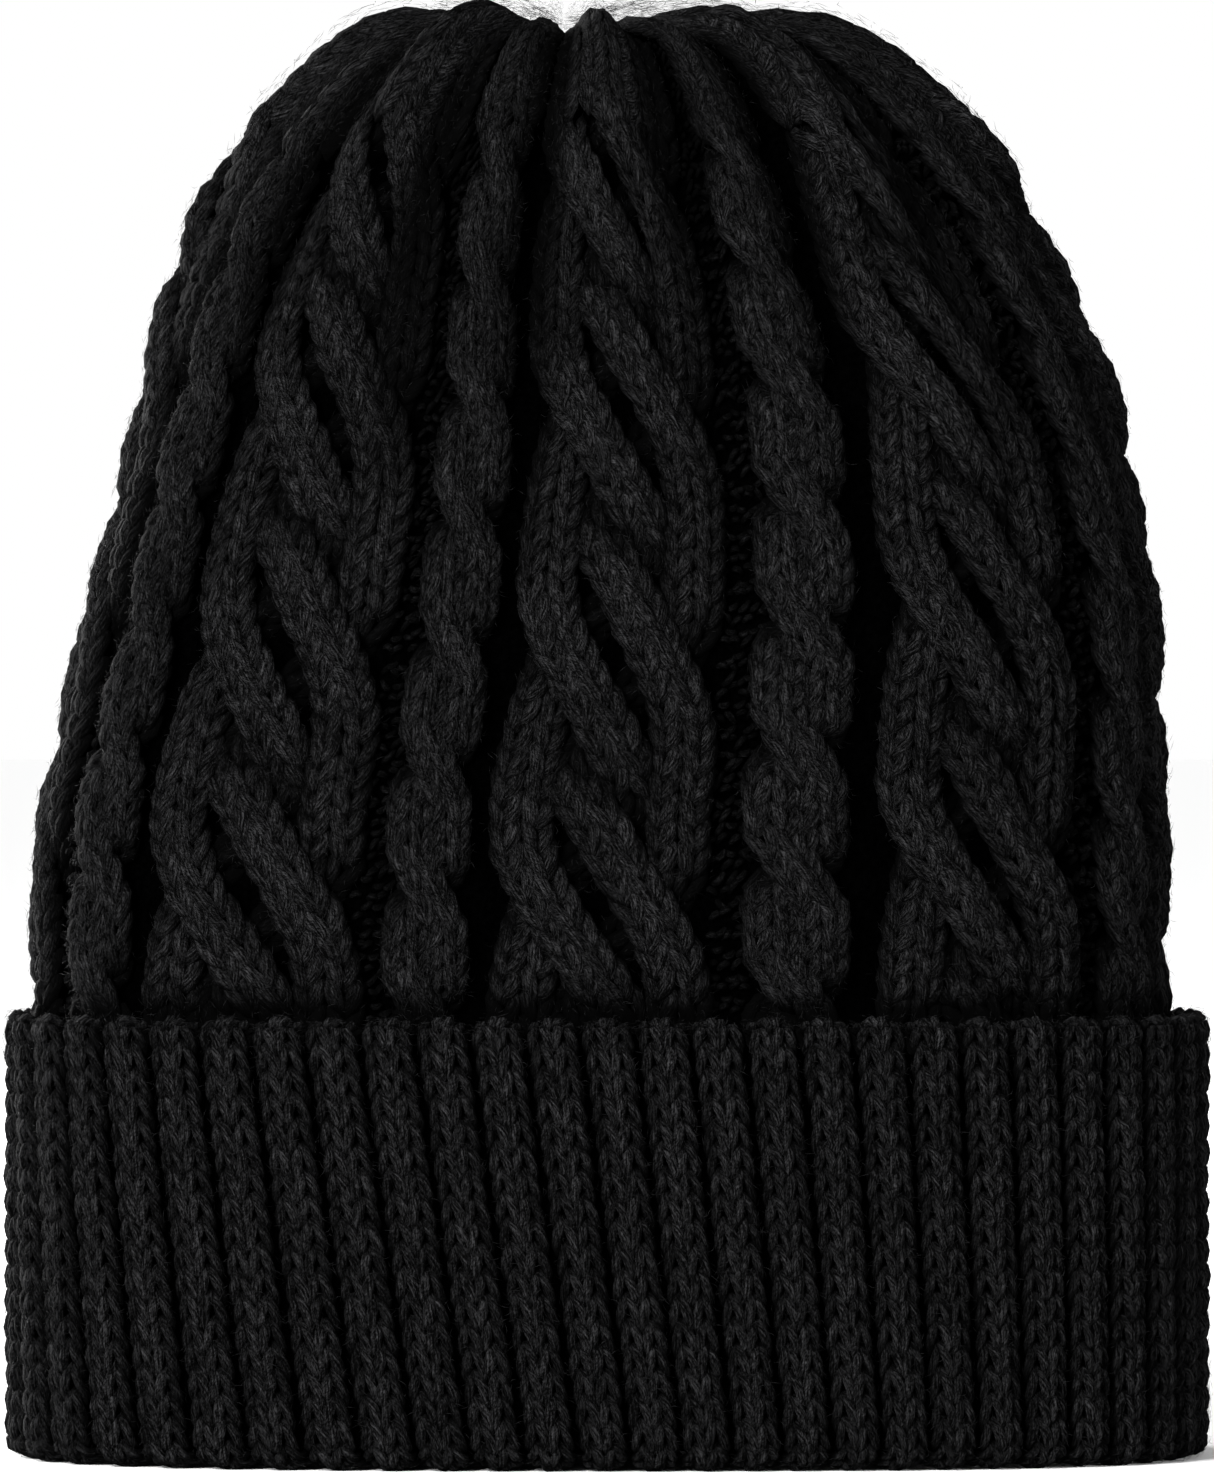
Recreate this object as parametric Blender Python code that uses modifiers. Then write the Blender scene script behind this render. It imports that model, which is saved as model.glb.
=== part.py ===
"""Knit beanie with a turned-up ribbed cuff, as plain solids: one object for each piece.

Units are metres and +Z is up. The hat stands on the fold of its cuff with its mouth down. Its
front faces -Y, and the origin is under its middle, on the surface that it stands on. Seen from
above, every level of the hat is the same rounded oblong, a superellipse. The knit surface
itself, its ribs and cables, isn't part of these solids.
"""
import math

import bmesh
import bpy
import numpy as np
from mathutils import Vector

MM = 0.001
OBJECT_NAME = "knit_beanie"

# Plan outline: a superellipse |x/a|^n + |y/b|^n = 1, with AROUND points spaced evenly along it.
PLAN_POWER = 2.8
AROUND = 56

# Cuff: the outer, turned-up layer of rib, and the fold at its foot.
CUFF_HALF_WIDTH = 100.0 * MM
CUFF_HALF_DEPTH = 54.0 * MM
CUFF_HEIGHT = 74.2 * MM
CUFF_WALL = 4.4 * MM
CUFF_FOOT_ROUND = 3.2 * MM
FOLD_HEIGHT = 8.0 * MM
CAP_INSET = 4.8 * MM
BAND_WALL = 4.6 * MM

# Cap: the rib band behind the cuff, then the cabled crown, both inset from the cuff's outside.
PIECE_GAP = 0.3 * MM
CROWN_FOOT = 68.5 * MM
CROWN_WALL = 6.0 * MM
DOME_START = 71.2 * MM
DOME_RISE = 177.5 * MM
DOME_POWER = 0.8
DOME_RINGS = 17
CROWN_TOP = 241.4 * MM
TOP_SOFTNESS = 1.5 * MM
GATHER_DIP = 3.5 * MM
GATHER_REACH = 9.0 * MM

# Yarn that draws the crown shut, its knot, and the sewn join down the middle of the back.
YARN_RADIUS = 1.1 * MM
GATHER_RING_RADIUS = 6.5 * MM
GATHER_POINTS = 32
KNOT_SCALE = 1.25 * MM
KNOT_DEPTH = 1.3
KNOT_OPENING = 0.35
KNOT_TAIL = 2.0
KNOT_TAIL_DROOP = 0.9
KNOT_POINTS = 44
KNOT_YARN_RADIUS = 0.75 * MM
SEAM_YARN_RADIUS = 1.2 * MM
CROWN_SEAM_POINTS = 26
BAND_SEAM_POINTS = 12
YARN_CLEARANCE = 0.6 * MM

# Blank care label: a folded tape sewn inside the back of the band by its top edge.
LABEL_WIDTH = 22.0 * MM
LABEL_LENGTH = 30.0 * MM
LABEL_THICKNESS = 1.0 * MM
LABEL_CENTRE_X = -25.0 * MM
LABEL_TOP = 60.0 * MM
LABEL_EDGE_ROUND = 0.3 * MM
STITCH_RADIUS = 0.35 * MM
STITCH_INSET = 2.4 * MM
STITCH_SPAN = 19.0 * MM
STITCH_HALF_RISE = 0.9 * MM
STITCH_TURNS = 12

CAP_HALF_WIDTH = CUFF_HALF_WIDTH - CAP_INSET
CAP_HALF_DEPTH = CUFF_HALF_DEPTH - CAP_INSET
WIDTH_OVER_DEPTH = CUFF_HALF_WIDTH - CUFF_HALF_DEPTH
CROWN_FLATNESS = CAP_HALF_DEPTH / CAP_HALF_WIDTH
BAND_FOOT = FOLD_HEIGHT + PIECE_GAP
BAND_TOP = CROWN_FOOT - PIECE_GAP

MERGE_DISTANCE = 0.00001
ARC_STEPS = 4
SPLINE_BEVEL = 2


def clear_scene():
    """Remove whatever objects the file starts with."""
    for item in list(bpy.data.objects):
        bpy.data.objects.remove(item, do_unlink=True)


def make_collection(name):
    group = bpy.data.collections.new(name)
    bpy.context.scene.collection.children.link(group)
    return group


def principled(name, colour, roughness):
    """A plain cloth or yarn colour."""
    material = bpy.data.materials.new(name)
    material.use_nodes = True
    shader = material.node_tree.nodes["Principled BSDF"]
    shader.inputs["Base Color"].default_value = (*colour, 1.0)
    shader.inputs["Roughness"].default_value = roughness
    shader.inputs["Metallic"].default_value = 0.0
    material.diffuse_color = (*colour, 1.0)
    return material


def finish_object(item, group, material):
    for holder in list(item.users_collection):
        holder.objects.unlink(item)
    group.objects.link(item)
    item.data.materials.clear()
    item.data.materials.append(material)
    return item


def plan_angles():
    """Superellipse angles of AROUND points that lie evenly along the cuff's plan outline."""
    fine = np.linspace(0.0, 2.0 * math.pi, 8001)
    x, y = plan_shape(fine)
    steps = np.hypot(np.diff(CUFF_HALF_WIDTH * x), np.diff(CUFF_HALF_DEPTH * y))
    travelled = np.concatenate(([0.0], np.cumsum(steps)))
    wanted = np.linspace(0.0, travelled[-1], AROUND + 1)[:-1]
    return np.interp(wanted, travelled, fine)


def plan_shape(angle):
    """Unit plan outline at a superellipse angle: x and y from -1 to 1."""
    cosine = np.cos(angle)
    sine = np.sin(angle)
    x = np.sign(cosine) * np.abs(cosine) ** (2.0 / PLAN_POWER)
    y = np.sign(sine) * np.abs(sine) ** (2.0 / PLAN_POWER)
    return x, y


def turn_profile(name, profile, closed):
    """Turn an (r, z) profile about Z into a mesh. A closed profile gives a ring-shaped solid."""
    mesh = bpy.data.meshes.new(name + "_profile")
    count = len(profile)
    edges = [(i, i + 1) for i in range(count - 1)]
    if closed:
        edges.append((count - 1, 0))
    mesh.from_pydata([(r, 0.0, z) for r, z in profile], edges, [])
    item = bpy.data.objects.new(name + "_profile", mesh)
    bpy.context.scene.collection.objects.link(item)
    screw = item.modifiers.new("Turn", "SCREW")
    screw.axis = "Z"
    screw.angle = 2.0 * math.pi
    screw.steps = AROUND
    screw.render_steps = AROUND
    screw.use_merge_vertices = True
    screw.merge_threshold = MERGE_DISTANCE
    screw.use_smooth_shade = True
    evaluated = item.evaluated_get(bpy.context.evaluated_depsgraph_get())
    turned = bpy.data.meshes.new_from_object(evaluated)
    turned.name = name
    bpy.data.objects.remove(item, do_unlink=True)
    return turned


def reshape_plan(mesh, half_depth):
    """Move each turned point from its circle to the oblong plan outline of the same half width."""
    angles = plan_angles()
    for vertex in mesh.vertices:
        radius = math.hypot(vertex.co.x, vertex.co.y)
        turn = math.atan2(vertex.co.y, vertex.co.x) / (2.0 * math.pi) * AROUND
        x, y = plan_shape(angles[round(turn) % AROUND])
        vertex.co.x = radius * x
        vertex.co.y = half_depth(radius) * y


def face_outward(mesh):
    """Make all faces of a mesh agree, and point out where it is closed."""
    work = bmesh.new()
    work.from_mesh(mesh)
    bmesh.ops.remove_doubles(work, verts=work.verts, dist=MERGE_DISTANCE)
    bmesh.ops.recalc_face_normals(work, faces=work.faces)
    work.to_mesh(mesh)
    work.free()


def arc(centre, radius, start, end):
    """Points of an arc in the (r, z) plane, from one angle in degrees to another."""
    angles = np.radians(np.linspace(start, end, ARC_STEPS + 1))
    return [(centre[0] + radius * math.cos(a), centre[1] + radius * math.sin(a)) for a in angles]


def cuff_profile():
    """Section of the cuff: a tall outer wall with a round top, on a foot two layers thick."""
    outer = CUFF_HALF_WIDTH
    inner = outer - CUFF_WALL
    foot_inner = outer - CAP_INSET - BAND_WALL
    top_round = CUFF_WALL / 2.0
    points = arc((outer - top_round, CUFF_HEIGHT - top_round), top_round, 180.0, 0.0)
    points.append((outer, CUFF_HEIGHT / 2.0))
    points += arc((outer - CUFF_FOOT_ROUND, CUFF_FOOT_ROUND), CUFF_FOOT_ROUND, 0.0, -90.0)
    points += arc((foot_inner + CUFF_FOOT_ROUND, CUFF_FOOT_ROUND), CUFF_FOOT_ROUND, 270.0, 180.0)
    points += [(foot_inner, FOLD_HEIGHT), (inner, FOLD_HEIGHT)]
    return points


def band_profile():
    """Section of the band: a plain upright wall between the fold and the crown."""
    outer = CUFF_HALF_WIDTH - CAP_INSET
    inner = outer - BAND_WALL
    middle = (BAND_FOOT + BAND_TOP) / 2.0
    return [
        (outer, BAND_TOP), (outer, middle), (outer, BAND_FOOT),
        (inner, BAND_FOOT), (inner, middle), (inner, BAND_TOP),
    ]


def dome_height(half_width, rise_angle):
    """Height of the crown's outside: a dome with a flattened top that dips at the gather."""
    dome = DOME_START + DOME_RISE * math.sin(rise_angle)
    over = (CROWN_TOP - dome) / TOP_SOFTNESS
    flattened = CROWN_TOP - TOP_SOFTNESS * math.log1p(math.exp(over))
    return flattened - GATHER_DIP * math.exp(-((half_width / GATHER_REACH) ** 2))


def crown_profile():
    """Outside of the crown, from its foot up to the gathered point in the middle of the top."""
    points = [(CAP_HALF_WIDTH, CROWN_FOOT)]
    for ring in range(DOME_RINGS + 1):
        rise_angle = 0.5 * math.pi * ring / DOME_RINGS
        half_width = CAP_HALF_WIDTH * max(math.cos(rise_angle), 0.0) ** DOME_POWER
        if ring == DOME_RINGS:
            half_width = 0.0
        points.append((half_width, dome_height(half_width, rise_angle)))
    return points[::-1]


def make_ring_piece(name, profile, group, material):
    """A wall whose section is a closed profile, carried round the plan outline."""
    mesh = turn_profile(name, profile, closed=True)
    reshape_plan(mesh, lambda radius: radius - WIDTH_OVER_DEPTH)
    face_outward(mesh)
    mesh.shade_smooth()
    mesh.set_sharp_from_angle(angle=math.radians(50.0))
    item = bpy.data.objects.new(name, mesh)
    return finish_object(item, group, material)


def make_crown(group, material):
    """The cabled crown: the outside of the dome, given its wall inward by Solidify."""
    mesh = turn_profile("cable_crown", crown_profile(), closed=False)
    reshape_plan(mesh, lambda radius: radius * CROWN_FLATNESS)
    face_outward(mesh)
    mesh.shade_smooth()
    item = bpy.data.objects.new("cable_crown", mesh)
    finish_object(item, group, material)
    wall = item.modifiers.new("Wall", "SOLIDIFY")
    wall.thickness = CROWN_WALL
    wall.offset = -1.0
    wall.use_even_offset = True
    wall.use_quality_normals = True
    return item


def tube(name, points, radius, group, material, cyclic=False):
    """A yarn: a poly curve of round section with filled ends."""
    curve = bpy.data.curves.new(name, "CURVE")
    curve.dimensions = "3D"
    curve.bevel_depth = radius
    curve.bevel_resolution = SPLINE_BEVEL
    curve.use_fill_caps = not cyclic
    spline = curve.splines.new("POLY")
    spline.points.add(len(points) - 1)
    for point, place in zip(spline.points, points):
        point.co = (*place, 1.0)
    spline.use_cyclic_u = cyclic
    spline.use_smooth = True
    item = bpy.data.objects.new(name, curve)
    return finish_object(item, group, material)


def crown_back_line(clearance):
    """Points up the inside of the crown's back, a given distance in from its inner face."""
    outline = [(r * CROWN_FLATNESS, z) for r, z in crown_profile()[::-1]]
    ys = np.array([point[0] for point in outline])
    zs = np.array([point[1] for point in outline])
    run = np.concatenate(([0.0], np.cumsum(np.hypot(np.diff(ys), np.diff(zs)))))
    stations = np.linspace(SEAM_YARN_RADIUS * 2.0, run[-3], CROWN_SEAM_POINTS)
    y = np.interp(stations, run, ys)
    z = np.interp(stations, run, zs)
    slope_y = np.gradient(y, stations)
    slope_z = np.gradient(z, stations)
    length = np.hypot(slope_y, slope_z)
    inset = CROWN_WALL + clearance
    return [
        Vector((0.0, y[i] - inset * slope_z[i] / length[i], z[i] + inset * slope_y[i] / length[i]))
        for i in range(CROWN_SEAM_POINTS)
    ]


def make_seams(group, material):
    """The sewn join down the middle of the back, on the inside of the crown and of the band."""
    clearance = YARN_CLEARANCE + SEAM_YARN_RADIUS
    tube("crown_seam_yarn", crown_back_line(clearance), SEAM_YARN_RADIUS, group, material)
    band_y = CAP_HALF_DEPTH - BAND_WALL - clearance
    lowest = BAND_FOOT + SEAM_YARN_RADIUS
    highest = BAND_TOP - SEAM_YARN_RADIUS
    heights = np.linspace(lowest, highest, BAND_SEAM_POINTS)
    points = [Vector((0.0, band_y, z)) for z in heights]
    tube("band_seam_yarn", points, SEAM_YARN_RADIUS, group, material)


def gather_height():
    """Height of the gathering yarn's centre line, just under the crown's inner face."""
    lowest_inside = CROWN_TOP - GATHER_DIP - CROWN_WALL
    return lowest_inside - YARN_RADIUS - YARN_CLEARANCE


def make_gather_yarn(group, material):
    """The yarn drawn through the last stitches: a ring under the middle of the crown."""
    height = gather_height()
    points = []
    for angle in np.linspace(0.0, 2.0 * math.pi, GATHER_POINTS + 1)[:-1]:
        x = GATHER_RING_RADIUS * math.cos(angle)
        y = GATHER_RING_RADIUS * math.sin(angle)
        points.append(Vector((x, y, height)))
    tube("crown_gather_yarn", points, YARN_RADIUS, group, material, cyclic=True)


def make_knot(group, material):
    """The overhand knot that ends the gathering yarn, with its two short tails."""
    points = []
    for turn in np.linspace(KNOT_OPENING, 2.0 * math.pi - KNOT_OPENING, KNOT_POINTS):
        x = math.sin(turn) + 2.0 * math.sin(2.0 * turn)
        y = math.cos(turn) - 2.0 * math.cos(2.0 * turn)
        z = -KNOT_DEPTH * math.sin(3.0 * turn)
        points.append(Vector((x, y, z)) * KNOT_SCALE)
    droop = Vector((0.0, 0.0, -KNOT_TAIL_DROOP))
    first_way = (points[0] - points[1]).normalized() + droop
    last_way = (points[-1] - points[-2]).normalized() + droop
    first_tail = points[0] + first_way * KNOT_SCALE * KNOT_TAIL
    last_tail = points[-1] + last_way * KNOT_SCALE * KNOT_TAIL
    points = [first_tail, *points, last_tail]
    highest = max(point.z for point in points) + KNOT_YARN_RADIUS
    ceiling = gather_height() - YARN_RADIUS - YARN_CLEARANCE
    lift = Vector((0.0, 0.0, ceiling - highest))
    points = [point + lift for point in points]
    tube("crown_tie_knot", points, KNOT_YARN_RADIUS, group, material)


def label_face_y():
    """Y of the label's back face, clear of the band's inner face across the label's width."""
    half_width = CAP_HALF_WIDTH - BAND_WALL
    half_depth = CAP_HALF_DEPTH - BAND_WALL
    far_edge = abs(LABEL_CENTRE_X) + LABEL_WIDTH / 2.0
    narrowing = (1.0 - (far_edge / half_width) ** PLAN_POWER) ** (1.0 / PLAN_POWER)
    return half_depth * narrowing - PIECE_GAP * 3.0


def make_label(group, label_material, thread_material):
    """The blank label on a pivot at its sewn top edge, and the zigzag thread that sews it."""
    pivot = bpy.data.objects.new("label_pivot", None)
    pivot.location = (LABEL_CENTRE_X, label_face_y() - LABEL_THICKNESS / 2.0, LABEL_TOP)
    group.objects.link(pivot)

    bpy.ops.mesh.primitive_cube_add(size=1.0, location=(0.0, 0.0, 0.0))
    label = bpy.context.object
    label.name = "care_label"
    label.data.name = "care_label"
    for vertex in label.data.vertices:
        vertex.co.x *= LABEL_WIDTH
        vertex.co.y *= LABEL_THICKNESS
        vertex.co.z *= LABEL_LENGTH
    label.parent = pivot
    label.location = (0.0, 0.0, -LABEL_LENGTH / 2.0)
    finish_object(label, group, label_material)
    edge = label.modifiers.new("Edge", "BEVEL")
    edge.width = LABEL_EDGE_ROUND
    edge.segments = 2

    stitch_y = -LABEL_THICKNESS / 2.0 - STITCH_RADIUS - PIECE_GAP
    points = []
    for turn in range(STITCH_TURNS + 1):
        across = STITCH_SPAN * (turn / STITCH_TURNS - 0.5)
        rise = STITCH_HALF_RISE if turn % 2 else -STITCH_HALF_RISE
        points.append(Vector((across, stitch_y, rise - STITCH_INSET)))
    thread = tube("label_stitches", points, STITCH_RADIUS, group, thread_material)
    thread.parent = pivot


def main():
    clear_scene()
    parts = make_collection(OBJECT_NAME)
    rib_yarn = principled("black_rib_knit", (0.020, 0.020, 0.021), 0.92)
    band_yarn = principled("black_band_knit", (0.018, 0.018, 0.019), 0.92)
    cable_yarn = principled("black_cable_knit", (0.022, 0.022, 0.023), 0.92)
    gather_yarn = principled("black_gather_yarn", (0.024, 0.024, 0.025), 0.85)
    knot_yarn = principled("black_knot_yarn", (0.026, 0.026, 0.027), 0.85)
    seam_yarn = principled("black_seam_yarn", (0.022, 0.022, 0.023), 0.85)
    label_tape = principled("white_label_tape", (0.78, 0.78, 0.76), 0.60)
    label_thread = principled("black_sewing_thread", (0.03, 0.03, 0.03), 0.60)

    make_ring_piece("turn_up_cuff", cuff_profile(), parts, rib_yarn)
    make_ring_piece("inner_band", band_profile(), parts, band_yarn)
    make_crown(parts, cable_yarn)
    make_seams(parts, seam_yarn)
    make_gather_yarn(parts, gather_yarn)
    make_knot(parts, knot_yarn)
    make_label(parts, label_tape, label_thread)


main()
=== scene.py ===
"""Looks of the knit beanie: ribs, cables and purl ground as real stitches of black yarn.

The cloth is drawn in pattern places, in millimetres: x runs round the hat, v runs along the
knitting, and h stands out of it. A Skin carries pattern places to the hat's own surface.
"""
import math

import bmesh
import bpy
import numpy as np
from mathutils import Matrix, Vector


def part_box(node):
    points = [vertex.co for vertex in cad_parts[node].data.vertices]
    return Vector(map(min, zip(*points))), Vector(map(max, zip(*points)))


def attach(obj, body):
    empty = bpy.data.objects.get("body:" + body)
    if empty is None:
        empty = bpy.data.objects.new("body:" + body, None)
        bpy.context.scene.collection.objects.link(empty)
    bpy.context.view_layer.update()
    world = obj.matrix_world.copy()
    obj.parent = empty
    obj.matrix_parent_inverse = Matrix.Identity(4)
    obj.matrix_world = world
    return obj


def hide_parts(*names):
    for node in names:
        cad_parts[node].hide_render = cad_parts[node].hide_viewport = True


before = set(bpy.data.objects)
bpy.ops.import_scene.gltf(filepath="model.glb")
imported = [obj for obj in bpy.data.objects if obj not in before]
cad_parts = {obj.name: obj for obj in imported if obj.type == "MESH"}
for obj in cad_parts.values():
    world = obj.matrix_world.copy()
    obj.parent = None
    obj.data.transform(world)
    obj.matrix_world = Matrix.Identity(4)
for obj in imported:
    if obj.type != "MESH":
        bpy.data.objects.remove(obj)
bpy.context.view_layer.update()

MM = 0.001
TAU = 2.0 * math.pi
rng = np.random.default_rng(11)
NO_QUADS = np.zeros((0, 4), int)
NO_TRIS = np.zeros((0, 3), int)

# ---- sizes, from the CAD frame
def cad_box(node):
    """Low and high corners of a CAD node, in mm."""
    return tuple(np.array(corner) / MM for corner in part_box(node))


cuff_high = cad_box("turn_up_cuff")[1]
band_low, band_high = cad_box("inner_band")
crown_low, crown_high = cad_box("cable_crown")
label_low, label_high = cad_box("care_label")
stitch_low, stitch_high = cad_box("label_stitches")
ring_low, ring_high = cad_box("crown_gather_yarn")
knot_low, knot_high = cad_box("crown_tie_knot")

PLAN_POWER = 2.8
CUFF_A, CUFF_B, CUFF_TOP = cuff_high
CAP_A, CAP_B = crown_high[:2]
CAP_INSET = CUFF_A - CAP_A
BAND_WALL = 4.6
BAND_RUN = band_high[2] - band_low[2]
CROWN_FOOT, CROWN_TOP = crown_low[2], crown_high[2]
LIP_V = CUFF_TOP - CROWN_FOOT  # where the crown comes out of the cuff

# Dome of the crown, as in the CAD
DOME_START = CROWN_FOOT + 2.7
DOME_RISE = 177.5
DOME_POWER = 0.8
TOP_SOFTNESS = 1.5
GATHER_DIP = 3.5
GATHER_REACH = 9.0

# Gauge of the knitting
ROW = 4.07
RIBS = 58
CABLE_REPEATS = 8
RIB_COLUMN = 3.6
WIDE_COLUMN = 5.1
ROPE_COLUMN = 4.3

# Half thickness of a leg of a stitch, and how pointed its ends are
TIP = 0.6
LEG_IN_RIB = 0.93
LEG_IN_CABLE = 1.33
LEG_IN_ROPE = 1.2

# Grids that the surfaces are worked out on
OUTLINE_STEPS = 4000
OUTLINE_SAMPLES = 16001
CROWN_COLUMNS, CROWN_ROWS = 960, 300
RIB_COLUMNS, RIB_ROWS, BAND_ROWS = 1160, 420, 60

# Swell, sink and lean of the crown's cloth
CROWN_INSET = 0.9  # stitches stand out of the skin by about this much
PLEAT_FOOT = 0.35
PLEAT_TOP = 12.5
LUMP = 0.7
TUCK_DEPTH = 1.4
TUCK_REACH = 5.0
TOP_DROP = 2.9
GATHER_FILL = 1.0
GATHER_FILL_REACH = 12.0
GATHER_PULL = -7.5  # the gather sits a little toward -x
GATHER_PULL_HALF = 55.0
LEAN_HEIGHT = (68, 109, 141, 174, 200, 241)
LEAN_X = (-1.3, -0.8, 2.5, 3.3, 1.4, 0.0)
ROW_TILT_RISE = 4.7
ROW_TILT_SKEW = 3.4

# Rib cloth, from inside the lip to the band's top
LIP_ROUND = 2.1
LIP_INSIDE = 5.0
LIP_SINK = 0.5
LIP_STEPS = 13
FOLD_ROUND = 3.5
FOLD_STEPS = 10
RIB_LEAN, RIB_LEAN_AT, RIB_LEAN_POWER = 9.4, -42.0, 2.6
RIB_SPREAD = 2.2

# Cables: keys are (row, value) down one repeat, x aside from the cable's middle, h out of cloth
EDGE_STRAND_X = [(0, -9.6), (2, -11.6), (4, -12.4), (7.4, -12.9), (9.3, -10.0), (12.2, -2.2),
                 (14.3, 3.0), (15.8, 5.8), (16.5, 5.5), (19.2, -8.5), (20, -9.6)]
EDGE_STRAND_H = [(0, -3.0), (1.2, -1.4), (7.0, -1.1), (9.5, -0.1), (13.5, -0.3), (15.2, -2.0),
                 (16.2, -4.0), (19, -4.0), (20, -2.9)]
OVER_STRAND_X = [(0, -6.5), (0.65, -5.4), (2.1, -1.1), (3.8, 2.4), (5.5, 6.8), (7.4, 10.9),
                 (9, 12.3), (13.9, 11.9), (14.6, 11.6), (15.2, 11.0), (18.8, -5.0), (20, -6.5)]
OVER_STRAND_H = [(0, -3.2), (1.2, -1.2), (3, -0.3), (6.5, -0.5), (9, -1.2), (13.4, -1.4),
                 (14.6, -2.6), (15.5, -4.0), (19, -4.0), (20, -2.9)]
ROPE_X = [(0, 0.0), (1.5, 3.6), (4.5, 3.7), (5.5, -3.7), (8.5, -3.6), (10, 0.0)]
ROPE_H = [(0, 0.2), (1.4, -0.4), (3.2, -0.8), (4.3, -1.4), (4.7, -3.5), (5.3, -3.5), (5.7, -1.4),
          (6.8, -0.8), (8.6, -0.4), (10, 0.2)]
WIDE_CYCLE = 20.0  # rows in one repeat
ROPE_CYCLE = 10.0
OVER_STRAND_LAG = 4.35  # rows
WIDE_START = 63.8  # height up the crown where the first strand's keys begin
ROPE_START = 26.1
STRAND_ROUND = 2.6  # how far a strand falls away at its sides
STRAND_ROUND_POWER = 3.5
HIDDEN_BELOW = -4.15
ROPE_OFFSET = 33.4  # from each wide cable to the narrow cable after it
WIDE_WIDTH, WIDE_PLAIN_COLUMNS = 36.0, 4
ROPE_WIDTH, ROPE_PLAIN_COLUMNS = 19.0, 2

# Each cable, round the hat from the front middle, is a little aside and wider or narrower
WIDE_SHIFT = [0.0, 3.6, 1.0, -1.5, 0.0, 1.5, -1.0, 2.6]
ROPE_SHIFT = [-1.2, 0.8, -1.0, 1.0, 0.0, -1.5, 0.6, -0.9]
WIDE_BREADTH = [1.05, 1.06, 1.03, 1.0, 1.04, 1.0, 1.03, 1.12]
ROPE_BREADTH = [1.12, 0.96, 0.94, 0.98, 0.92, 0.97, 0.93, 0.88]

# Decreases, at shares of the crown's width
FIRST_DECREASE = 0.60
SECOND_DECREASE = 0.30
LAST_NARROWING = 0.07

# Purl stitches of the ground: columns aside from each wide cable
PURL_COLUMNS = (18.4, 20.4, 22.4, 24.2)
PURL_HALF_WIDTH = 0.95
PURL_BEND = 0.4
PURL_HEIGHT = -3.9
PURL_RADIUS = 0.66

# Painted shade, as the share of the yarn's colour kept: dark deep in the cloth, a little lighter
# on top; keys are (h, share)
CABLE_SHADE = [(-4.0, 0.0), (-3.0, 0.03), (-2.1, 0.13), (-1.2, 0.48), (-0.4, 0.88), (0.6, 1.1)]
# Painted shade in the crown's folds, keyed by how far the pleats sink
FOLD_SHADE = [(-3.2, 0.02), (-2.1, 0.35), (-0.9, 1.0)]
PURL_SHADE = [(-4.7, 0.01), (-3.2, 0.24)]
RIB_SHADE = [(-2.7, 0.0), (-2.1, 0.06), (-1.5, 0.25), (-0.9, 0.70), (-0.2, 1.08)]
# Painted shade on the crown's yarn just above the cuff's lip, where the cuff shades it
FOOT_SHADE_FROM, FOOT_SHADE_RUN = 0.8, 3.4

# Joining yarns
PLY_LAY = 7.0  # run of one turn of a ply
CORD_LAY = 5.0
SEAM_RADIUS = 0.95
SEAM_STITCH_RADIUS = 0.6
KNOT_YARN_RADIUS = 0.75

# Woven label: threads across and along it, in radians a metre
WARP_RATE, WEFT_RATE = 21000.0, 14000.0
ZIGZAGS = 12

# Loose fibres
FIBRE_RADIUS = 0.030
FIBRE_REACH = 2.8
FIBRES_PER_CUFF_PIECE = 12000
FIBRES_PER_CABLE = 7000

# Camera and lights, in metres and watts
CAMERA_DISTANCE = 2.0
CAMERA_HEIGHT = 0.1192
VIEW_HEIGHT = 0.245
LIGHTS = (("key", (-1.0, -1.7, 0.85), (0.0, 0.0, 0.12), 1.1, 300.0),
          ("fill", (1.3, -1.2, 0.4), (0.0, 0.0, 0.12), 0.9, 42.0),
          ("back", (-1.3, 1.6, 0.6), (0.0, 0.0, 0.10), 1.1, 200.0))


def grid(x, y, z):
    """Places, or pattern places, from their three parts."""
    return np.stack(np.broadcast_arrays(x, y, z), -1)


def join(parts):
    """Sets of tubes (spines, half widths and half thicknesses) put together into one."""
    return [np.concatenate(column) for column in zip(*parts)]


# ---- the hat's surface
def unit_outline(a, b):
    """Unit superellipse outline, spaced evenly round an a by b oblong from the front middle."""
    angle = np.linspace(-0.25 * TAU, 0.75 * TAU, OUTLINE_SAMPLES)
    cosine, sine = np.cos(angle), np.sin(angle)
    x = np.sign(cosine) * np.abs(cosine) ** (2.0 / PLAN_POWER)
    y = np.sign(sine) * np.abs(sine) ** (2.0 / PLAN_POWER)
    run = np.concatenate(([0.0], np.cumsum(np.hypot(np.diff(a * x), np.diff(b * y)))))
    even = np.linspace(0.0, run[-1], OUTLINE_STEPS + 1)
    return np.interp(even, run, x), np.interp(even, run, y), run[-1]


def on_outline(steps, outline):
    """Unit x and y at a number of steps round an outline."""
    every = np.arange(OUTLINE_STEPS + 1)
    return [np.interp(steps, every, way) for way in outline[:2]]


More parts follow.
